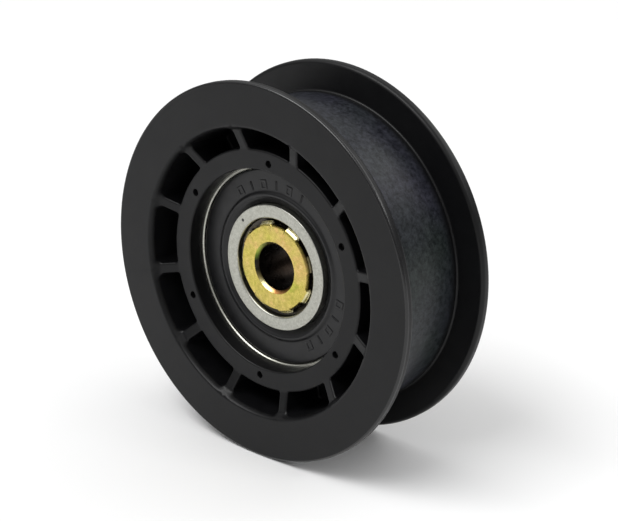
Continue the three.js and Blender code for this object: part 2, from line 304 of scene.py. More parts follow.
class Surface:
    """Collects grids of points and closed loops, and turns them into one welded mesh object."""

    def __init__(self):
        self.points = []
        self.faces = []

    def add_points(self, points):
        start = len(self.points)
        self.points.extend(map(tuple, points))
        return start

    def add_grid(self, grid, wrap_rows=False, wrap_columns=True):
        rows, columns = grid.shape[:2]
        start = self.add_points(grid.reshape(-1, 3))
        for i in range(rows if wrap_rows else rows - 1):
            for j in range(columns if wrap_columns else columns - 1):
                a, b = i * columns + j, i * columns + (j + 1) % columns
                step = ((i + 1) % rows) * columns - i * columns
                self.faces.append((start + a, start + b, start + b + step, start + a + step))

    def add_cap(self, loop):
        start = self.add_points(loop)
        self.faces.append(tuple(range(start, start + len(loop))))

    def build(self, name, weld=WELD):
        mesh = bpy.data.meshes.new(name)
        mesh.from_pydata([tuple(c * MM for c in p) for p in self.points], [], self.faces)
        shape = bmesh.new()
        shape.from_mesh(mesh)
        bmesh.ops.remove_doubles(shape, verts=shape.verts, dist=weld * MM)
        bmesh.ops.dissolve_degenerate(shape, edges=shape.edges, dist=weld * MM / 10)
        bmesh.ops.recalc_face_normals(shape, faces=shape.faces)
        shape.to_mesh(mesh)
        shape.free()
        piece = bpy.data.objects.new(name, mesh)
        bpy.context.collection.objects.link(piece)
        return piece


def turned(name, outline, columns=COLUMNS):
    surface = Surface()
    surface.add_grid(swept(outline, columns), wrap_rows=True)
    return surface.build(name)


def smooth(piece, crease_degrees=40):
    """Smooth shading with creases kept and flat faces kept flat."""
    mesh = piece.data
    mesh.shade_smooth()
    mesh.set_sharp_from_angle(angle=math.radians(crease_degrees))
    weigh = piece.modifiers.new("even_normals", "WEIGHTED_NORMAL")
    weigh.keep_sharp = True
    weigh.weight = 80


def on_circle(radius, degrees, y=0.0):
    a = math.radians(degrees)
    return Vector((radius * math.sin(a), y, radius * math.cos(a)))


def apply_boolean(piece, tool, operation):
    """Joins or cuts a piece with a tool mesh, which is then removed."""
    step = piece.modifiers.new(operation.lower(), "BOOLEAN")
    step.operation = operation
    step.solver = "EXACT"
    step.object = tool
    depsgraph = bpy.context.evaluated_depsgraph_get()
    result = bpy.data.meshes.new_from_object(piece.evaluated_get(depsgraph))
    piece.modifiers.remove(step)
    piece.data = result
    bpy.data.objects.remove(tool)


# ---------------------------------------------------------------- wheel


def land_height(radius):
    """Height of hub face, rib tops and flange face above the wheel's middle plane."""
    hub = WHEEL_FACE - HUB_DEPTH
    rim = WHEEL_FACE
    slope = (rim - RIB_DROP_AT_RIM - hub) / (LIP_START_RADIUS - RIB_RISE_START)
    ramp = np.maximum(radius - RIB_RISE_START, 0)
    rib = hub + slope * ramp
    t = np.clip((radius - LIP_START_RADIUS) / (LIP_END_RADIUS - LIP_START_RADIUS), 0, 1)
    return rib + (rim - rib) * (3 * t**2 - 2 * t**3)


def pocket_half(spread):
    """Right half of a pocket's edge, moved outwards by spread: (across, along) from hub to rim."""
    half_pitch = math.pi / RIB_COUNT
    along = np.array([math.sin(half_pitch), math.cos(half_pitch)])
    across = np.array([math.cos(half_pitch), -math.sin(half_pitch)])

    def corner(circle_radius, fillet, steps, from_hub):
        offset = RIB_HALF_WIDTH + fillet
        reach = math.sqrt(circle_radius**2 - offset**2)
        centre = reach * along - offset * across
        towards_circle = centre / np.linalg.norm(centre) * (-1 if from_hub else 1)
        first, last = (towards_circle, across) if from_hub else (across, towards_circle)
        a0, a1 = math.atan2(first[0], first[1]), math.atan2(last[0], last[1])
        turn = (a1 - a0 + math.pi) % (2 * math.pi) - math.pi
        angles = a0 + turn * np.linspace(0, 1, 2 * steps + 1)
        return centre + (fillet + spread) * np.stack([np.sin(angles), np.cos(angles)], -1)

    hub_corner = corner(
        POCKET_INNER_RADIUS + POCKET_INNER_CORNER, POCKET_INNER_CORNER, HUB_CORNER_SPLITS, True)
    rim_corner = corner(
        POCKET_OUTER_RADIUS - POCKET_OUTER_CORNER, POCKET_OUTER_CORNER, RIM_CORNER_SPLITS, False)

    def circle_arc(radius, start, end, steps):
        angles = np.linspace(start, end, steps + 1)
        return radius * np.stack([np.sin(angles), np.cos(angles)], -1)

    hub_arc = circle_arc(
        POCKET_INNER_RADIUS - spread, 0, math.atan2(*hub_corner[0]), HUB_SPLITS)
    rim_arc = circle_arc(
        POCKET_OUTER_RADIUS + spread, math.atan2(*rim_corner[-1]), 0, RIM_SPLITS)
    side = np.linspace(hub_corner[-1], rim_corner[0], SIDE_SPLITS + 1)
    return np.concatenate([hub_arc[:-1], hub_corner, side[1:-1], rim_corner, rim_arc[1:]])


def border_half(edge):
    """Right half of a pocket's share of the wheel's face, point for point with the pocket's edge."""
    half_pitch = math.pi / RIB_COUNT
    along = np.array([math.sin(half_pitch), math.cos(half_pitch)])
    hub_count = HUB_SPLITS + HUB_CORNER_SPLITS
    rim_count = RIM_SPLITS + RIM_CORNER_SPLITS
    angles = np.linspace(0, half_pitch, hub_count + 1)
    hub = LAND_START_RADIUS * np.stack([np.sin(angles), np.cos(angles)], -1)
    angles = np.linspace(half_pitch, 0, rim_count + 1)
    rim = LAND_END_RADIUS * np.stack([np.sin(angles), np.cos(angles)], -1)
    first = hub_count + HUB_CORNER_SPLITS
    straight = edge[first:first + SIDE_SPLITS + 1] @ along
    low = np.linspace(LAND_START_RADIUS, straight[0], HUB_CORNER_SPLITS + 1)[1:-1]
    high = np.linspace(straight[-1], LIP_END_RADIUS, RIM_CORNER_SPLITS)[1:]
    side = np.concatenate([low, straight, high])[:, None] * along
    return np.concatenate([hub, side, rim])


def whole_loop(half):
    """A closed loop from its right half, whose two ends lie on the pocket's middle line."""
    left = half[1:-1][::-1] * [-1, 1]
    return np.concatenate([half, left])


def pocket_levels():
    """Loops of (across, along, height) from the share's border over the land and down the pocket."""
    edge = pocket_half(EDGE_ROUND)
    border = border_half(edge)
    levels = []
    # Over the land, closer together towards the pocket's edge
    for t in LAND_STEPS:
        flat = edge + (border - edge) * t
        levels.append((flat, land_height(np.hypot(*flat.T))))
    # Round the edge
    for a in np.radians((22.5, 45, 67.5, 90)):
        flat = pocket_half(EDGE_ROUND * (1 - math.sin(a)))
        levels.append((flat, land_height(np.hypot(*flat.T)) - EDGE_ROUND * (1 - math.cos(a))))
    # Down the wall
    top = levels[-1][1]
    floor = WEB_HALF + POCKET_FLOOR_FILLET
    for t in (0.33, 0.67, 1):
        levels.append((pocket_half(-POCKET_DRAFT * t), top + (floor - top) * t))
    # Round the foot, towards the pocket's middle
    flat = levels[-1][0]
    middle_radius = (POCKET_INNER_RADIUS + POCKET_OUTER_RADIUS) / 2
    inwards = middle_radius * flat / np.hypot(*flat.T)[:, None] * [0.75, 1] - flat
    inwards /= np.hypot(*inwards.T)[:, None]
    for a in np.radians((30, 60, 90)):
        shifted = flat + inwards * POCKET_FLOOR_FILLET * (1 - math.cos(a))
        levels.append((shifted, np.full(len(flat), floor - POCKET_FLOOR_FILLET * math.sin(a))))
    return [
        np.concatenate([whole_loop(flat), whole_height(height)[:, None]], axis=1)
        for flat, height in levels
    ]


def whole_height(half):
    """Heights round a closed loop, from those of its right half."""
    return np.concatenate([half, half[1:-1][::-1]])


def wheel_face(surface, side):
    """Pockets, ribs, hub face and flange face on one side: -1 for the front, 1 for the back."""
    levels = np.array(pocket_levels())
    for i in range(RIB_COUNT):
        middle = math.radians(RIB_PHASE + (i + 0.5) * 360 / RIB_COUNT)
        across, along, height = levels[..., 0], levels[..., 1], levels[..., 2]
        x = across * math.cos(middle) + along * math.sin(middle)
        z = along * math.cos(middle) - across * math.sin(middle)
        grid = np.stack([x, side * height, z], -1)
        surface.add_grid(grid)
        surface.add_cap(grid[-1])


def wheel_columns(outline):
    """The outline turned about Y with its columns in line with the pockets' borders."""
    grid = swept(outline, COLUMNS)
    turn = Matrix.Rotation(math.radians(RIB_PHASE), 3, "Y")
    return grid @ np.array(turn).T


def make_wheel():
    face = WHEEL_FACE
    hub = face - HUB_DEPTH
    seat_radius = RING_RADIUS + FIT
    seat_end = RING_FACE + FIT
    flange_inside = face - FLANGE_THICKNESS
    bore = rounded([
        (LAND_START_RADIUS, hub, 0),
        (HUB_MOUTH_RADIUS, hub, HUB_MOUTH_ROUND),
        (HUB_MOUTH_RADIUS, seat_end, SEAT_ROUND),
        (seat_radius, seat_end, SEAT_ROUND),
        (seat_radius, 0, 0),
    ], closed=False)
    crown_half = flange_inside - BELT_FACE_FILLET
    crown = [
        (BELT_FACE_RADIUS + BELT_FACE_CROWN * (1 - t**2), crown_half * t)
        for t in np.linspace(1, 0, CROWN_STEPS)[1:]
    ]
    rim = rounded([
        (LAND_END_RADIUS, face, 0),
        (WHEEL_RADIUS, face, FLANGE_OUTER_ROUND),
        (WHEEL_RADIUS, flange_inside, FLANGE_INSIDE_ROUND),
        (BELT_FACE_RADIUS, flange_inside, BELT_FACE_FILLET),
        (BELT_FACE_RADIUS, crown_half, 0),
    ], closed=False) + crown
    surface = Surface()
    surface.add_grid(wheel_columns(bore + to_front(bore)[::-1][1:]))
    surface.add_grid(wheel_columns(rim + to_front(rim)[::-1][1:]))
    for side in (-1, 1):
        wheel_face(surface, side)
    wheel = surface.build("moulded_wheel", weld=5 * WELD)
    for i in range(DIMPLE_COUNT):
        punch = make_punch(DIMPLE_PHASE + i * 360 / DIMPLE_COUNT, -hub)
        apply_boolean(wheel, punch, "DIFFERENCE")
    return wheel


def make_punch(degrees, face_y):
    """Cutter for one blind dimple with a softened mouth, in the front hub face."""
    outline = rounded([
        (0.0, DIMPLE_DEPTH, 0),
        (DIMPLE_RADIUS, DIMPLE_DEPTH, DIMPLE_FLOOR_ROUND),
        (DIMPLE_RADIUS, 0, DIMPLE_LIP),
        (DIMPLE_RADIUS + 2 * DIMPLE_LIP, -PUNCH_SKIN, 0),
        (DIMPLE_RADIUS + 2 * DIMPLE_LIP, -PUNCH_ABOVE, 0),
        (0.0, -PUNCH_ABOVE, 0),
    ], closed=False)
    place = on_circle(DIMPLE_CIRCLE, degrees, face_y)
    surface = Surface()
    surface.add_grid(swept(outline, SMALL_COLUMNS) + np.array(place))
    return surface.build("punch")


# ---------------------------------------------------------------- bearing


def raceway(land_radius):
    """Half of a raceway, from y = 0 in the groove's middle to the land's edge."""
    radius = BALL_RADIUS + RACE_CLEARANCE
    edge = math.degrees(math.acos(abs(land_radius - PITCH_RADIUS) / radius))
    if land_radius > PITCH_RADIUS:
        return arc(PITCH_RADIUS, 0, radius, 0, edge, RACE_STEPS)
    return arc(PITCH_RADIUS, 0, radius, 180, 180 - edge, RACE_STEPS)


def make_outer_ring():
    mouth = RECESS_MOUTH_RADIUS - RECESS_RADIUS
    recess_floor = RING_FACE - RECESS_DEPTH
    shell = rounded([
        (OUTER_LAND_RADIUS, recess_floor - RECESS_STEP, 0),
        (OUTER_LAND_RADIUS, recess_floor, RING_EDGE_ROUND),
        (RECESS_RADIUS, recess_floor, RING_EDGE_ROUND),
        (RECESS_RADIUS, RING_FACE - mouth, RING_EDGE_ROUND),
        (RECESS_MOUTH_RADIUS, RING_FACE, 0.8 * RING_EDGE_ROUND),
        (RING_RADIUS, RING_FACE, RING_ROUND),
        (RING_RADIUS, SHELL_END, 0),
    ], closed=False)
    return turned("outer_ring", both_ends(raceway(OUTER_LAND_RADIUS)[1:] + shell))


def make_inner_ring():
    face = INNER_RING_FACE
    counterbore = face - COUNTERBORE_DEPTH
    shell = rounded([
        (INNER_RING_RADIUS, INNER_LAND_END, 0),
        (INNER_RING_RADIUS, face, INNER_RING_ROUND),
        (COUNTERBORE_RADIUS, face, COUNTERBORE_ROUND),
        (COUNTERBORE_RADIUS, counterbore, COUNTERBORE_FLOOR_ROUND),
        (BEARING_BORE, counterbore - COUNTERBORE_SLOPE, COUNTERBORE_FLOOR_ROUND / 2),
        (BEARING_BORE, SHELL_END, 0),
    ], closed=False)
    return turned("inner_ring", both_ends(raceway(INNER_RING_RADIUS)[1:] + shell))


def seal_outline():
    face = RING_FACE - SEAL_DROP
    bottom = SEAL_BOTTOM
    core_inside = CORE_INNER_RADIUS - CORE_GAP
    core_outside = CORE_RADIUS + CORE_GAP
    ridge = [
        (SEAL_RIDGE_RADIUS + SEAL_RIDGE_HALF_WIDTH * t,
         face + SEAL_RIDGE_HEIGHT * math.cos(t * math.pi / 2) ** 1.5)
        for t in np.linspace(0.98, -0.98, RIDGE_STEPS)
    ]
    rim = rounded([
        (SEAL_LIP_RADIUS + 0.25, face - 0.42, 0),
        (SEAL_LIP_RADIUS, face - 0.55, 0.08),
        (SEAL_LIP_RADIUS + 0.3, bottom, 0.1),
        (core_inside, bottom, 0),
        (core_inside, CORE_TOP + CORE_GAP, 0),
        (core_outside, CORE_TOP + CORE_GAP, 0),
        (core_outside, bottom, 0),
        (SEAL_RADIUS, bottom, 0.15),
        (SEAL_RADIUS, face - 0.12, 0.18),
        (SEAL_RADIUS - 0.3, face, 0.15),
        (SEAL_RADIUS - 0.8, face, 0),
    ], closed=False)
    return rim + [(SEAL_RIDGE_RADIUS + 1.2, face)] + ridge + [(SEAL_RIDGE_RADIUS - 0.95, face - 0.15)]


def make_seal(name, side, mark_groups):
    """A seal with groups of small raised marks round its face: hollow frames and bars in turn."""
    outline = seal_outline()
    if side < 0:
        outline = to_front(outline)
    seal = turned(name, outline)
    face = side * (RING_FACE - SEAL_DROP)
    marks = Surface()
    for middle, count in mark_groups:
        for k in range(count):
            degrees = middle + (k - (count - 1) / 2) * MARK_SPACING
            if k % 2:
                add_mark(marks, degrees, face, side, BAR_HALF_WIDTH)
            else:
                add_mark(marks, degrees, face, side, FRAME_HALF_WIDTH, FRAME_STROKE)
    apply_boolean(seal, marks.build("marks"), "UNION")
    return seal


def add_mark(surface, degrees, face, side, half_width, stroke=None):
    """One raised mark, sunk a little into the seal: a bar, or a frame if a stroke is given."""
    turn = Matrix.Rotation(math.radians(degrees), 3, "Y")

    def loop(height, inset):
        w, l = half_width - inset, MARK_HALF_LENGTH - inset
        flat = rounded([(x, z, MARK_ROUND) for x, z in ((-w, -l), (w, -l), (w, l), (-w, l))])
        return [tuple(turn @ Vector((x, face + side * height, z + MARK_RADIUS))) for x, z in flat]

    loops = [loop(-MARK_SUNK, 0), loop(0.5 * MARK_HEIGHT, 0), loop(MARK_HEIGHT, MARK_BEVEL)]
    if stroke:
        loops += [
            loop(MARK_HEIGHT, stroke - MARK_BEVEL),
            loop(0.5 * MARK_HEIGHT, stroke),
            loop(-MARK_SUNK, stroke),
        ]
        surface.add_grid(np.array(loops), wrap_rows=True)
        return
    surface.add_grid(np.array(loops))
    surface.add_cap(loops[0][::-1])
    surface.add_cap(loops[-1])


def make_core(name, side):
    outline = rounded([
        (CORE_INNER_RADIUS, CORE_BOTTOM, SEAT_ROUND),
        (CORE_RADIUS, CORE_BOTTOM, SEAT_ROUND),
        (CORE_RADIUS, CORE_TOP, SEAT_ROUND),
        (CORE_INNER_RADIUS, CORE_TOP, SEAT_ROUND),
    ])
    if side < 0:
        outline = to_front(outline)
    return turned(name.replace("core", "washer"), outline, WASHER_COLUMNS)


def make_ball(index, centre):
    """A fine, even sphere."""
    shape = bmesh.new()
    bmesh.ops.create_icosphere(shape, subdivisions=BALL_SUBDIVISIONS, radius=BALL_RADIUS * MM)
    bmesh.ops.translate(shape, verts=shape.verts, vec=centre)
    mesh = bpy.data.meshes.new(f"steel_ball_{index}")
    shape.to_mesh(mesh)
    shape.free()
    ball = bpy.data.objects.new(mesh.name, mesh)
    bpy.context.collection.objects.link(ball)
    return ball


def cage_offset(distance):
    """How far the cage strip's inner side stands out, by distance from a ball's centre."""
    pocket = BALL_RADIUS + CAGE_POCKET_CLEARANCE
    if distance >= 2 * pocket:
        return CAGE_SPLIT
    gap = math.sqrt(max(pocket**2 - distance**2, 0)) - CAGE_SPLIT
    return CAGE_SPLIT + (gap + math.sqrt(gap**2 + CAGE_BLEND**2)) / 2


def make_cage_half(name, side):
    """One pressed strip: a grid round the pitch circle, cupped over each ball, with thickness."""
    columns = CAGE_COLUMNS_PER_BALL * BALL_COUNT
    inner, outer = [], []
    pitch_step = 2 * math.pi / BALL_COUNT
    for radius in np.linspace(CAGE_INNER, CAGE_OUTER, CAGE_ROWS):
        low, high = [], []
        for j in range(columns):
            a = 2 * math.pi * j / columns
            off = (a + pitch_step / 2) % pitch_step - pitch_step / 2
            flat = math.hypot(radius * math.sin(off), radius * math.cos(off) - PITCH_RADIUS)
            height = cage_offset(flat)
            step = 0.02
            slope = (cage_offset(flat + step) - cage_offset(max(flat - step, 0))) / (2 * step)
            thick = CAGE_SHEET * min(math.sqrt(1 + slope**2), CAGE_MOST_STRETCH)
            x, z = radius * math.sin(a), radius * math.cos(a)
            low.append((x, side * height, z))
            high.append((x, side * (height + thick), z))
        inner.append(low)
        outer.append(high)
    around = np.array(inner + outer[::-1])
    surface = Surface()
    surface.add_grid(around, wrap_rows=True)
    return surface.build(name)


def make_rivet(index, place):
    """A rivet with two domed heads."""
    head = CAGE_SPLIT + CAGE_SHEET + FIT
    dome = arc(0.0, head - RIVET_HEAD_DROP, RIVET_HEAD_RADIUS, 60, 16, 6)
    shank = [(RIVET_SHANK_RADIUS, head), (RIVET_SHANK_RADIUS, RIVET_SHANK_END)]
    half = [(0.0, head + RIVET_HEAD_HEIGHT)] + dome + shank
    surface = Surface()
    surface.add_grid(swept(half + to_front(half)[::-1], SMALL_COLUMNS) + np.array(place))
    return surface.build(f"rivet_{index}")


# ---------------------------------------------------------------- bush


def make_bush():
    """Sleeve with a collar at the back; at the front a ring of tabs is staked over the inner ring."""
    mouth = BOLT_HOLE + BOLT_HOLE_CHAMFER
    tab_top = BUSH_FRONT + TAB_DROP
    sleeve = BEARING_BORE - SLEEVE_GAP
    collar_front = INNER_RING_FACE + SLEEVE_GAP

    def outline(shoulder, tip, fillet):
        steps = TAB_CORNER_STEPS
        out, back = shoulder
        return np.array(
            rounded([
                (BOLT_HOLE, BUSH_FRONT + BOLT_HOLE_CHAMFER, BOLT_HOLE_ROUND),
                (mouth, BUSH_FRONT, BUSH_EDGE_ROUND),
                (NOSE_RADIUS - NOSE_ROUND, BUSH_FRONT, 0),
            ], closed=False)
            + [(NOSE_RADIUS + out, BUSH_FRONT + back)]
            + arc(tip - fillet, tab_top + fillet, fillet, -90, 0, steps)
            + arc(tip - fillet, tab_top + TAB_THICKNESS - fillet, fillet, 0, 90, steps)
            + rounded([
                (sleeve, tab_top + TAB_THICKNESS + NOSE_ROUND, 0),
                (sleeve, collar_front, BUSH_EDGE_ROUND),
                (COLLAR_RADIUS, collar_front, BUSH_EDGE_ROUND),
                (COLLAR_RADIUS, BUSH_BACK, COLLAR_ROUND),
                (mouth, BUSH_BACK, BUSH_EDGE_ROUND),
                (BOLT_HOLE, BUSH_BACK - BOLT_HOLE_CHAMFER, BOLT_HOLE_ROUND),
                (BOLT_HOLE, 0, 0),
            ], closed=False)
        )

    gap_outline = outline(GAP_SHOULDER, sleeve - GAP_DEPTH, GAP_ROUND)
    tab_outline = outline(TAB_SHOULDER, TAB_TIP_RADIUS, TAB_ROUND)
    rng = random.Random(SEED)
    angles = np.degrees(np.linspace(0, 2 * math.pi, BUSH_COLUMNS, endpoint=False))
    share = np.zeros(BUSH_COLUMNS)
    for i in range(TAB_COUNT):
        middle = TAB_PHASE + i * 360 / TAB_COUNT + rng.uniform(-TAB_WANDER, TAB_WANDER)
        span = TAB_SPAN + rng.uniform(-TAB_SPAN_SPREAD, TAB_SPAN_SPREAD)
        reach = TAB_SHORT_REACH if i == TAB_SHORT else 1 + rng.uniform(*TAB_REACH_SPREAD)
        away = np.abs((angles - middle + 180) % 360 - 180)
        t = np.clip((span / 2 + TAB_SIDE_SPAN / 2 - away) / TAB_SIDE_SPAN, 0, 1)
        share = np.maximum(share, reach * (3 * t**2 - 2 * t**3))
    profile = gap_outline[:, None, :] + (tab_outline - gap_outline)[:, None, :] * share[None, :, None]
    turn = np.radians(angles)[None, :]
    grid = np.stack(
        [profile[..., 0] * np.sin(turn), profile[..., 1], profile[..., 0] * np.cos(turn)], -1)
    surface = Surface()
    surface.add_grid(grid, wrap_rows=True)
    return surface.build("staked_bush")


# ---------------------------------------------------------------- materials


class Shader:
    """A node material: texture coordinates go with the piece, so nothing slides as it turns."""

    def __init__(self, name):
        self.material = bpy.data.materials.new(name)
        self.material.use_nodes = True
        self.tree = self.material.node_tree
        self.bsdf = self.tree.nodes["Principled BSDF"]
        self.coordinates = self.add("ShaderNodeTexCoord").outputs["Object"]

    def add(self, kind, inputs=None, **settings):
        node = self.tree.nodes.new(kind)
        for key, value in settings.items():
            setattr(node, key, value)
        for key, value in (inputs or {}).items():
            self.feed(node.inputs[key], value)
        return node

    def feed(self, socket, value):
        if isinstance(value, bpy.types.NodeSocket):
            self.tree.links.new(value, socket)
        else:
            socket.default_value = value

    def set(self, **values):
        for key, value in values.items():
            self.feed(self.bsdf.inputs[key.replace("_", " ")], value)

    def math(self, operation, a, b=0.0):
        return self.add("ShaderNodeMath", {0: a, 1: b}, operation=operation).outputs[0]

    def stretched(self, scale):
        return self.add("ShaderNodeMapping", {"Vector": self.coordinates, "Scale": scale}).outputs[0]

    def around(self):
        """Coordinates unrolled about the axis: radius, place along the axis, and angle."""
        part = self.add("ShaderNodeSeparateXYZ", {0: self.coordinates}).outputs
        across, up = (self.math("MULTIPLY", part[i], part[i]) for i in (0, 2))
        radius = self.math("SQRT", self.math("ADD", across, up))
        angle = self.math("ARCTAN2", part[0], part[2])
        return radius, part[1], angle

    def noise(self, scale, detail=4.0, roughness=0.55, vector=None):
        return self.add("ShaderNodeTexNoise", {
            "Vector": vector or self.coordinates,
            "Scale": scale,
            "Detail": detail,
            "Roughness": roughness,
        }).outputs[0]

    def ramp(self, value, stops):
        node = self.add("ShaderNodeValToRGB", {0: value})
        ramp = node.color_ramp
        while len(ramp.elements) < len(stops):
            ramp.elements.new(0.5)
        for element, (place, colour) in zip(ramp.elements, stops):
            element.position = place
            element.color = (*colour, 1) if len(colour) == 3 else colour
        return node.outputs[0]

    def step(self, value, start, end):
        """0 to 1 as a value in metres goes from start to end, which are in millimetres."""
        return self.add("ShaderNodeMapRange", {
            "Value": value,
            "From Min": start * MM,
            "From Max": end * MM,
        }, interpolation_type="SMOOTHSTEP").outputs[0]

    def mix(self, factor, first, second):
        node = self.add("ShaderNodeMix", data_type="RGBA")
        self.feed(node.inputs[0], factor)
        self.feed(node.inputs[6], (*first, 1) if isinstance(first, tuple) else first)
        self.feed(node.inputs[7], (*second, 1) if isinstance(second, tuple) else second)
        return node.outputs[2]

    def product(self, first, second):
        node = self.add("ShaderNodeMix", data_type="RGBA", blend_type="MULTIPLY")
        node.inputs[0].default_value = 1.0
        self.feed(node.inputs[6], first)
        self.feed(node.inputs[7], second)
        return node.outputs[2]

    def blend(self, factor, first, second):
        """A number between two numbers."""
        node = self.add("ShaderNodeMix")
        self.feed(node.inputs[0], factor)
        self.feed(node.inputs[2], first)
        self.feed(node.inputs[3], second)
        return node.outputs[0]

    def near(self, place, start, end):
        """1 within a distance end from a place, 0 beyond a distance start, all in millimetres."""
        node = self.add("ShaderNodeVectorMath", {0: self.coordinates}, operation="DISTANCE")
        node.inputs[1].default_value = [c * MM for c in place]
        return self.step(node.outputs["Value"], start, end)

    def between(self, value, low, high):
        """A number from low to high as a texture's value goes from 0.3 to 0.7."""
        return self.add("ShaderNodeMapRange", {
            "Value": value,
            "From Min": 0.3,
            "From Max": 0.7,
            "To Min": low,
            "To Max": high,
        }).outputs[0]

    def bump(self, layers):
        """Stacks (height, distance in metres) layers into one normal."""
        normal = None
        for height, distance in layers:
            inputs = {"Height": height, "Distance": distance, "Strength": 1.0}
            if normal is not None:
                inputs["Normal"] = normal
            normal = self.add("ShaderNodeBump", inputs).outputs[0]
        self.set(Normal=normal)


def nylon_material():
    """Black glass-filled nylon; the belt face is a mottled band of belt scuffs, painted paler and
    bluish as a painted sheen.
    """
    s = Shader("black_nylon")
    radius, along, _ = s.around()
    clouds = s.noise(90, 5, 0.6)
    moulded = s.ramp(clouds, [
        (0.30, (0.0026, 0.0026, 0.0031)),
        (0.52, (0.0034, 0.0034, 0.0039)),
        (0.72, (0.0040, 0.0044, 0.0047)),
    ])
    blotches = s.noise(1100, 6, 0.8)
    tint = s.noise(55, 3, 0.5)
    # Belt face: mottled scuffs, painted paler and bluish than the rest of the wheel as a painted sheen.
    scuffs_and_painted_sheen = s.mix(
        s.between(tint, 0, 1),
        s.ramp(blotches, [(0.38, (0.003, 0.003, 0.006)), (0.64, (0.034, 0.034, 0.048))]),
        s.ramp(blotches, [(0.38, (0.002, 0.004, 0.004)), (0.64, (0.029, 0.036, 0.035))]),
    )
    on_belt_face = s.math(
        "MULTIPLY",
        s.step(radius, BELT_FACE_RADIUS + 0.9, BELT_FACE_RADIUS + 0.4),
        s.math(
            "MULTIPLY",
            s.step(radius, BELT_FACE_RADIUS - 0.9, BELT_FACE_RADIUS - 0.4),
            s.step(
                s.math("ABSOLUTE", along),
                WHEEL_FACE - FLANGE_THICKNESS - 0.3,
                WHEEL_FACE - FLANGE_THICKNESS - 2.6,
            ),
        ),
    )
    grain = s.noise(2600, 3, 0.7)
    flow = s.noise(1.0, 4, 0.6, s.stretched((60, 420, 60)))
    on_corner = s.math(
        "MULTIPLY",
        s.step(radius, WHEEL_RADIUS - 0.5, WHEEL_RADIUS - 0.35),
        s.step(s.math("ABSOLUTE", along), WHEEL_FACE - 0.7, WHEEL_FACE - 0.5),
    )
    patches = s.noise(350, 6, 0.65)
    s.set(
        Base_Color=s.mix(on_belt_face, moulded, scuffs_and_painted_sheen),
        Roughness=s.blend(on_corner, s.between(patches, 0.33, 0.44), s.between(patches, 0.2, 0.28)),
        Specular_IOR_Level=s.blend(on_corner, 0.245, 0.55),
    )
    s.bump([(flow, 0.00003), (grain, 0.000012)])
    return s.material


def rubber_material():
    """Moulded seal rubber: nearly black, matte, with a very fine grain."""
    s = Shader("seal_rubber")
    s.set(
        Base_Color=s.ramp(s.noise(260, 4, 0.6), [
            (0.3, (0.004, 0.004, 0.0045)),
            (0.7, (0.007, 0.007, 0.008)),
        ]),
        Roughness=s.between(s.noise(700, 5, 0.6), 0.28, 0.4),
        Specular_IOR_Level=0.36,
    )
    s.bump([(s.noise(3800, 3, 0.7), 0.000008)])
    return s.material


def ground_steel_material():
    """Ground bearing steel: fine grinding lines and grains, painted shade in the counterbore, one small
    pit.
    """
    s = Shader("ground_steel")
    lines = s.noise(1.0, 3, 0.7, s.stretched((9000, 9000, 500)))
    grains = s.noise(2600, 4, 0.75)
    bright = s.ramp(grains, [
        (0.32, (0.33, 0.33, 0.285)),
        (0.50, (0.42, 0.42, 0.375)),
        (0.68, (0.52, 0.52, 0.465)),
    ])
    radius, along, _ = s.around()
    depth = s.math("ABSOLUTE", along)
    # Painted shade: the counterbore's wall and floor are painted dark grey.
    counterbore_painted_shade = s.math(
        "MULTIPLY",
        s.step(radius, COUNTERBORE_RADIUS + 0.1, COUNTERBORE_RADIUS - 0.15),
        s.step(depth, INNER_RING_FACE - 0.15, INNER_RING_FACE - 0.7),
    )
    steel_with_painted_shade = s.mix(counterbore_painted_shade, bright, (0.085, 0.078, 0.07))
    pit = s.near(on_circle(*PIT_PLACE, -INNER_RING_FACE), 0.42, 0.2)
    s.set(
        Base_Color=s.mix(pit, steel_with_painted_shade, (0.03, 0.03, 0.03)),
        Metallic=1.0,
        Roughness=s.between(lines, 0.28, 0.42),
    )
    s.bump([(lines, 0.000004), (grains, 0.000003)])
    return s.material


def pressed_steel_material():
    """Pressed sheet steel: duller, with drawn streaks."""
    s = Shader("pressed_steel")
    s.set(
        Base_Color=s.ramp(s.noise(400, 5, 0.6), [
            (0.3, (0.34, 0.33, 0.31)),
            (0.7, (0.47, 0.46, 0.44)),
        ]),
        Metallic=1.0,
        Roughness=s.between(s.noise(900, 4, 0.6), 0.3, 0.48),
    )
    s.bump([(s.noise(1600, 4, 0.6), 0.000006)])
    return s.material


def ball_steel_material():
    """Polished balls with hairline scratches."""
    s = Shader("ball_steel")
    scratches = s.noise(1.0, 2, 0.5, s.stretched((5000, 400, 5000)))
    s.set(
        Base_Color=s.ramp(s.noise(500, 3, 0.5), [
            (0.3, (0.60, 0.60, 0.60)),
            (0.7, (0.68, 0.68, 0.67)),
        ]),
        Metallic=1.0,
        Roughness=s.between(scratches, 0.05, 0.12),
    )
    s.bump([(scratches, 0.0000015)])
    return s.material


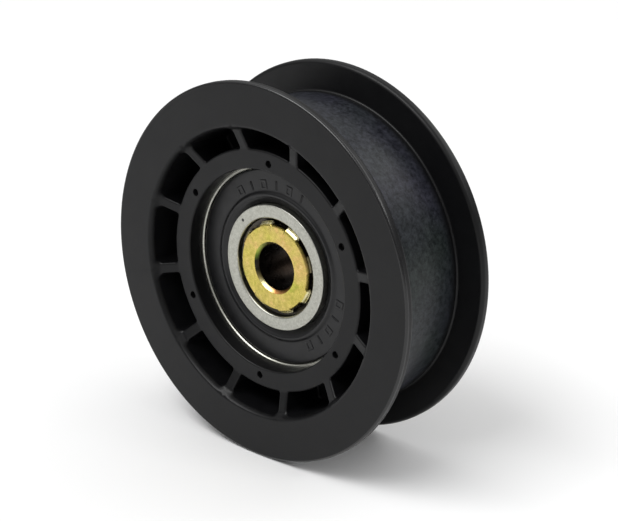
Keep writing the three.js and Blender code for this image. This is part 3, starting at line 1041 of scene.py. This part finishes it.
def yellow_zinc_material():
    """Yellow passivated zinc over turned steel, with green and orange clouds; painted highlights: pale
    clouds on the tabs, light and dark round the bolt hole's mouth; painted shade in the bolt hole and
    behind the front face.
    """
    s = Shader("yellow_zinc")
    radius, along, angle = s.around()
    rings = s.noise(1.0, 2, 0.5, s.add("ShaderNodeCombineXYZ", {
        0: s.math("MULTIPLY", radius, 9000),
        1: s.math("MULTIPLY", along, 9000),
        2: s.math("MULTIPLY", angle, 1.5),
    }).outputs[0])
    plated = s.ramp(s.noise(190, 4, 0.65), [
        (0.30, (0.44, 0.46, 0.07)),
        (0.42, (0.57, 0.48, 0.11)),
        (0.55, (0.62, 0.49, 0.14)),
        (0.64, (0.64, 0.44, 0.15)),
        (0.74, (0.68, 0.56, 0.22)),
    ])
    specks = s.ramp(s.noise(1500, 5, 0.75), [
        (0.30, (0.72, 0.72, 0.70)),
        (0.50, (0.95, 0.95, 0.95)),
        (0.70, (1.2, 1.2, 1.3)),
    ])
    face = s.product(plated, specks)
    on_chamfer = s.math(
        "MULTIPLY",
        s.step(radius, BOLT_HOLE + BOLT_HOLE_CHAMFER + 0.05, BOLT_HOLE + BOLT_HOLE_CHAMFER - 0.08),
        s.step(along, BUSH_FRONT + BOLT_HOLE_CHAMFER + 0.1, BUSH_FRONT + BOLT_HOLE_CHAMFER - 0.05),
    )
    # Painted highlight and shade round the bolt hole's bevelled mouth: its colour runs from pale yellow
    # to near black with the angle round the axis.
    turn = s.math("ADD", s.math("MULTIPLY", angle, 0.5 / math.pi), 0.5)
    chamfer_painted_light = s.ramp(turn, [
        (0.00, (0.80, 0.36, 0.12)),
        (0.10, (0.98, 0.90, 0.50)),
        (0.15, (0.40, 0.32, 0.12)),
        (0.20, (0.03, 0.03, 0.02)),
        (0.26, (0.012, 0.012, 0.01)),
        (0.30, (0.12, 0.18, 0.03)),
        (0.33, (0.34, 0.42, 0.07)),
        (0.40, (0.42, 0.46, 0.12)),
        (0.52, (0.70, 0.52, 0.34)),
        (0.76, (0.50, 0.38, 0.16)),
        (1.00, (0.80, 0.36, 0.12)),
    ])
    # Painted shade: the bolt hole's wall and the nose's side behind the front face are painted nearly
    # black.
    bore_painted_shade = s.step(radius, BOLT_HOLE + 0.1, BOLT_HOLE - 0.02)
    nose_painted_shade = s.math(
        "MULTIPLY",
        s.step(along, BUSH_FRONT + 0.1, BUSH_FRONT + 0.75),
        s.step(radius, NOSE_RADIUS + 0.3, NOSE_RADIUS + 0.2),
    )
    on_tabs = s.math(
        "MULTIPLY",
        s.step(radius, NOSE_RADIUS + 0.15, NOSE_RADIUS + 0.35),
        s.step(along, 0.0, -1.0),
    )
    # Painted highlight: the tabs are painted in pale clouds from gold to near white.
    tab_painted_highlight = s.mix(s.between(s.noise(900, 4, 0.7), 0, 1), (0.72, 0.64, 0.2), (1.0, 0.94, 0.72))
    outside = s.mix(on_chamfer, s.mix(on_tabs, face, tab_painted_highlight), chamfer_painted_light)
    s.set(
        Base_Color=s.mix(s.math("MAXIMUM", bore_painted_shade, nose_painted_shade), outside, (0.016, 0.011, 0.008)),
        Metallic=1.0,
        Roughness=s.between(s.noise(900, 5, 0.6), 0.2, 0.38),
    )
    s.bump([(rings, 0.000004), (s.noise(1400, 5, 0.65), 0.000012)])
    return s.material


def floor_material():
    s = Shader("pale_floor")
    s.set(
        Base_Color=s.ramp(s.noise(6, 3, 0.5), [
            (0.3, (0.86, 0.86, 0.86)),
            (0.7, (0.88, 0.88, 0.88)),
        ]),
        Roughness=0.8,
        Specular_IOR_Level=0.2,
    )
    return s.material


# ---------------------------------------------------------------- stage


def make_camera():
    azimuth, elevation = math.radians(VIEW_AZIMUTH), math.radians(VIEW_ELEVATION)
    back = Vector((
        math.sin(azimuth) * math.cos(elevation),
        -math.cos(azimuth) * math.cos(elevation),
        math.sin(elevation),
    ))
    camera = bpy.data.objects.new("camera", bpy.data.cameras.new("camera"))
    camera.data.lens = LENS
    camera.data.clip_start = 0.01
    camera.location = (Vector(VIEW_AIM) + back * VIEW_DISTANCE) * MM
    camera.rotation_euler = back.to_track_quat("Z", "Y").to_euler()
    bpy.context.collection.objects.link(camera)
    bpy.context.scene.camera = camera


def make_light(name, direction, distance, size, power):
    """A soft box aimed at the wheel: direction, then distance, width and depth in metres, and watts."""
    light = bpy.data.objects.new(name, bpy.data.lights.new(name, "AREA"))
    light.data.shape = "RECTANGLE"
    light.data.size, light.data.size_y = size
    light.data.energy = power
    towards = Vector(direction).normalized()
    light.location = towards * distance
    light.rotation_euler = towards.to_track_quat("Z", "Y").to_euler()
    bpy.context.collection.objects.link(light)


def make_stage():
    half = 60 * WHEEL_RADIUS
    floor = Surface()
    ground = -WHEEL_RADIUS - 0.02
    floor.add_grid(
        np.array([[(x, y, ground) for x in (-half, half)] for y in (-half, half)]),
        wrap_columns=False,
    )
    plane = floor.build("floor")
    plane.data.materials.append(floor_material())
    bpy.context.scene.world = studio_world()
    bpy.context.scene.view_settings.view_transform = "Standard"
    make_light("overhead", (-0.15, -0.5, 0.85), 1.5, (1.3, 0.6), 14.0)
    make_light("right", (0.78, 0.1, 0.62), 1.5, (0.35, 0.25), 3.0)
    make_light("back", (0.35, 0.72, 0.6), 1.5, (1.1, 0.55), 3.2)


def studio_world():
    """A soft white dome, bright overhead and dim towards the horizon."""
    world = bpy.data.worlds.new("studio")
    world.use_nodes = True
    nodes, links = world.node_tree.nodes, world.node_tree.links
    direction = nodes.new("ShaderNodeTexCoord").outputs["Generated"]
    part = nodes.new("ShaderNodeSeparateXYZ")
    links.new(direction, part.inputs[0])
    fade = nodes.new("ShaderNodeMapRange")
    fade.interpolation_type = "SMOOTHSTEP"
    fade.inputs["To Min"].default_value = HORIZON_LIGHT
    fade.inputs["To Max"].default_value = ZENITH_LIGHT
    links.new(part.outputs["Z"], fade.inputs["Value"])
    links.new(fade.outputs[0], nodes["Background"].inputs["Strength"])
    nodes["Background"].inputs["Color"].default_value = (1, 1, 1, 1)
    return world


# ---------------------------------------------------------------- assembly


def finish_piece(piece, material, body, slot, *nodes):
    smooth(piece)
    piece.data.materials.clear()
    piece.data.materials.append(material)
    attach(piece, body)
    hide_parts(*nodes)


make_camera()
make_stage()

NYLON = nylon_material()
RUBBER = rubber_material()
GROUND_STEEL = ground_steel_material()
PRESSED_STEEL = pressed_steel_material()
BALL_STEEL = ball_steel_material()
YELLOW_ZINC = yellow_zinc_material()

finish_piece(make_wheel(), NYLON, "pulley", "nylon", "pulley_body")
finish_piece(make_outer_ring(), GROUND_STEEL, "pulley", "ground_steel", "bearing_outer_ring")
finish_piece(make_inner_ring(), GROUND_STEEL, "bush", "ground_steel", "bearing_inner_ring")
finish_piece(make_bush(), YELLOW_ZINC, "bush", "yellow_zinc", "bush")
for side_name, side in (("front", -1), ("back", 1)):
    seal = make_seal(f"rubber_seal_{side_name}", side, MARK_GROUPS)
    finish_piece(seal, RUBBER, "pulley", "seal_rubber", f"seal_{side_name}")
    core = make_core(f"seal_core_{side_name}", side)
    finish_piece(core, PRESSED_STEEL, "pulley", "pressed_steel", f"seal_core_{side_name}")
    cage = make_cage_half(f"cage_strip_{side_name}", side)
    finish_piece(cage, PRESSED_STEEL, "cage", "pressed_steel", f"cage_{side_name}")
for number in range(1, BALL_COUNT + 1):
    centre = Vector(BALL_JOINTS[f"ball_{number}"]["pos_m"])
    ball = make_ball(number, centre)
    finish_piece(ball, BALL_STEEL, f"ball_{number}", "ball_steel", f"ball_{number}")
    place = on_circle(PITCH_RADIUS, (number - 0.5) * 360 / BALL_COUNT)
    rivet = make_rivet(number, place)
    finish_piece(rivet, PRESSED_STEEL, "cage", "pressed_steel", f"cage_rivet_{number}")
